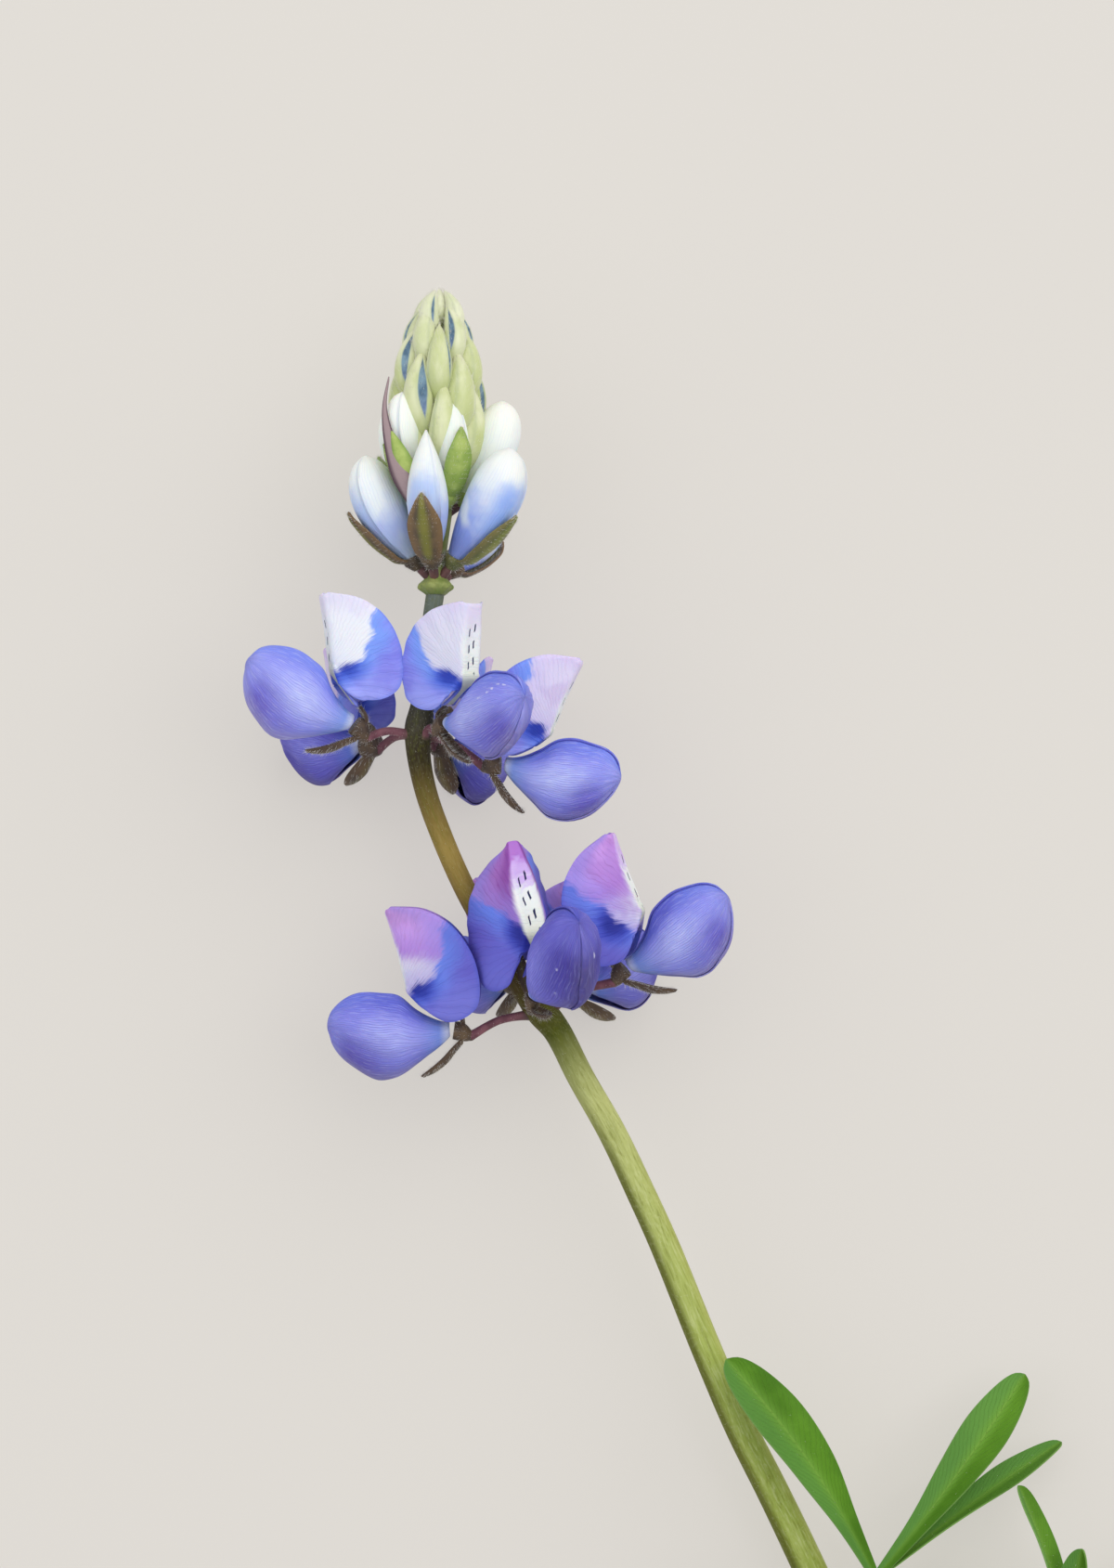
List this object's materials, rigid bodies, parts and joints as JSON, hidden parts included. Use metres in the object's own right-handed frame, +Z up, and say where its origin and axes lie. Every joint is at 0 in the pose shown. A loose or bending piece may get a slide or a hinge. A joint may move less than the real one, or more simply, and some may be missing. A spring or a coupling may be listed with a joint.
{
  "type": "lupin flower spike",
  "caption": "Cut lupin flower spike lying on its side, with whorls of blue and pink pea flowers, a head of green buds, a bent stem and palmate leaves.",
  "frame": {"origin": "centre of the bounding box, on the surface that the spike lies on", "axes": "+Y along the spike towards its tip, +X to the side of the lower leaf, +Z up from the surface"},
  "size_m": [0.0937, 0.1647, 0.0296],
  "materials": {
    "stem_green": "satin",
    "leaf_green": "satin",
    "wing_blue": "satin",
    "banner_white": "satin",
    "banner_pink": "satin",
    "keel_pale": "satin",
    "calyx_brown": "matte",
    "bud_green": "matte",
    "bud_blue": "satin"
  },
  "bodies": {
    "root": {"stem": "stem_green", "leaf_1": "leaf_green", "leaf_2": "leaf_green", "calyx_upper_1": "calyx_brown", "banner_upper_1": "banner_white", "wings_upper_1": "wing_blue", "keel_upper_1": "keel_pale", "calyx_upper_2": "calyx_brown", "banner_upper_2": "banner_white", "wings_upper_2": "wing_blue", "keel_upper_2": "keel_pale", "calyx_upper_3": "calyx_brown", "banner_upper_3": "banner_white", "wings_upper_3": "wing_blue", "keel_upper_3": "keel_pale", "calyx_upper_4": "calyx_brown", "banner_upper_4": "banner_white", "wings_upper_4": "wing_blue", "keel_upper_4": "keel_pale", "calyx_upper_5": "calyx_brown", "banner_upper_5": "banner_white", "wings_upper_5": "wing_blue", "keel_upper_5": "keel_pale", "calyx_lower_1": "calyx_brown", "banner_lower_1": "banner_pink", "wings_lower_1": "wing_blue", "keel_lower_1": "keel_pale", "calyx_lower_2": "calyx_brown", "banner_lower_2": "banner_pink", "wings_lower_2": "wing_blue", "keel_lower_2": "keel_pale", "calyx_lower_3": "calyx_brown", "banner_lower_3": "banner_pink", "wings_lower_3": "wing_blue", "keel_lower_3": "keel_pale", "calyx_lower_4": "calyx_brown", "banner_lower_4": "banner_pink", "wings_lower_4": "wing_blue", "keel_lower_4": "keel_pale", "calyx_lower_5": "calyx_brown", "banner_lower_5": "banner_pink", "wings_lower_5": "wing_blue", "keel_lower_5": "keel_pale", "bud_petal_a1": "bud_blue", "bud_petal_a2": "bud_blue", "bud_petal_a3": "bud_blue", "bud_petal_a4": "bud_blue", "bud_petal_a5": "bud_blue", "bud_petal_b1": "bud_blue", "bud_petal_b2": "bud_blue", "bud_petal_b3": "bud_blue", "bud_petal_b4": "bud_blue", "bud_petal_b5": "bud_blue", "bud_head": "bud_green"}
  },
  "joints": []
}
